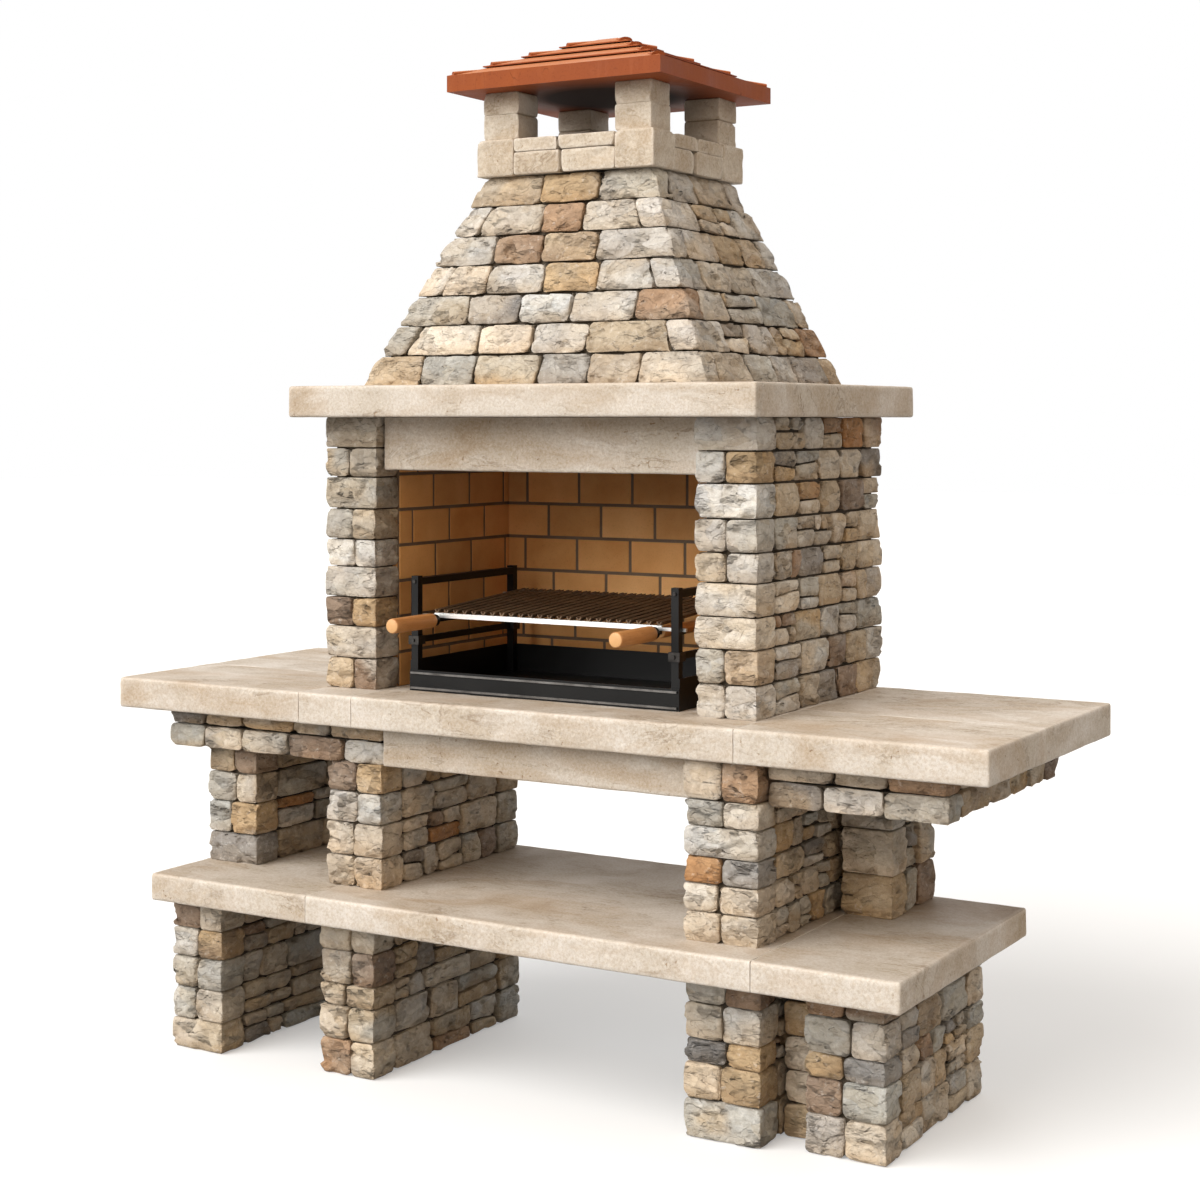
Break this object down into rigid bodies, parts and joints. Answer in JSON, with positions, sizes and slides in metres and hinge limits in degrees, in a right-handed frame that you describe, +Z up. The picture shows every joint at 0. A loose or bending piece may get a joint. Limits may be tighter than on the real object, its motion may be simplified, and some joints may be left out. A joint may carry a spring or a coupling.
{
  "type": "stone barbecue fireplace",
  "caption": "Outdoor stone barbecue with a lined hearth under a tapered hood and tiled chimney, side worktops, a lower shelf on piers, and a lift-off grill over a fire tray.",
  "frame": {"origin": "centre of the bounding box's footprint, on the floor", "axes": "+X to the viewer's right when facing the hearth, +Y to the back, +Z up"},
  "size_m": [2.44, 1.016, 2.636],
  "materials": {
    "split_field_stone": "rough split faces",
    "pale_limestone_blocks": "lightly tooled",
    "limestone_slab": "honed with worn edges",
    "mortar": "rough mortar and rubble fill",
    "firebrick": "matte fired clay",
    "terracotta": "matte fired clay",
    "black_painted_steel": "satin black heat paint",
    "clamp_steel": "worn zinc",
    "bright_steel": "brushed",
    "browned_steel": "heat browned",
    "dark_steel": "blackened",
    "beech": "oiled, turned"
  },
  "bodies": {
    "masonry": {"apron_beam": "limestone_slab", "chimney_posts": "pale_limestone_blocks", "collar_corner_stones": "pale_limestone_blocks", "collar_infill_stones": "pale_limestone_blocks", "corbel_cores": "mortar", "hearth_cores": "mortar", "hood_shell": "mortar", "hood_stones": "split_field_stone", "inner_left_leg_stones": "split_field_stone", "inner_left_pier_stones": "split_field_stone", "inner_right_leg_stones": "split_field_stone", "inner_right_pier_stones": "split_field_stone", "left_corbel_stones": "split_field_stone", "left_firebricks": "firebrick", "left_hearth_wall_stones": "split_field_stone", "leg_cores": "mortar", "leg_link_stones": "split_field_stone", "lintel": "limestone_slab", "mantel_slab": "limestone_slab", "outer_left_leg_stones": "split_field_stone", "outer_left_pier_stones": "split_field_stone", "outer_right_leg_stones": "split_field_stone", "pier_cores": "mortar", "rear_firebricks": "firebrick", "rear_wall_stones": "split_field_stone", "right_corbel_stones": "split_field_stone", "right_firebricks": "firebrick", "right_hearth_wall_stones": "split_field_stone", "roof_slab": "terracotta", "roof_tiles": "terracotta", "set_back_pier_stones": "split_field_stone", "shelf_left": "limestone_slab", "shelf_middle": "limestone_slab", "shelf_right": "limestone_slab", "worktop_left_back": "limestone_slab", "worktop_left_front": "limestone_slab", "worktop_middle": "limestone_slab", "worktop_right_back": "limestone_slab", "worktop_right_front": "limestone_slab", "worktop_strip": "limestone_slab"},
    "brazier": {"fire_tray": "black_painted_steel", "tray_beads": "black_painted_steel", "left_frame_posts": "black_painted_steel", "right_frame_posts": "black_painted_steel", "frame_top_bars": "black_painted_steel", "frame_bolts": "clamp_steel", "frame_hooks": "black_painted_steel"},
    "grill": {"grill_front_bar": "bright_steel", "grill_rear_bar": "bright_steel", "grill_bars": "browned_steel", "handle_rods": "dark_steel", "handle_ferrules": "dark_steel", "turned_handles": "beech"},
    "left_rail": {"left_rail": "black_painted_steel", "left_rail_clamps": "clamp_steel"},
    "right_rail": {"right_rail": "black_painted_steel", "right_rail_clamps": "clamp_steel"}
  },
  "joints": [
    {"name": "brazier_pull_out", "type": "slide", "parent": "masonry", "child": "brazier", "axis": [0, -1, 0], "range_m": [0, 0.16]},
    {"name": "grill_lift_off", "type": "slide", "parent": "brazier", "child": "grill", "axis": [0, 0, 1], "range_m": [0, 0.048]},
    {"name": "left_rail_height", "type": "slide", "parent": "brazier", "child": "left_rail", "axis": [0, 0, 1], "range_m": [-0.028, 0.034]},
    {"name": "right_rail_height", "type": "slide", "parent": "brazier", "child": "right_rail", "axis": [0, 0, 1], "range_m": [-0.028, 0.034]}
  ]
}
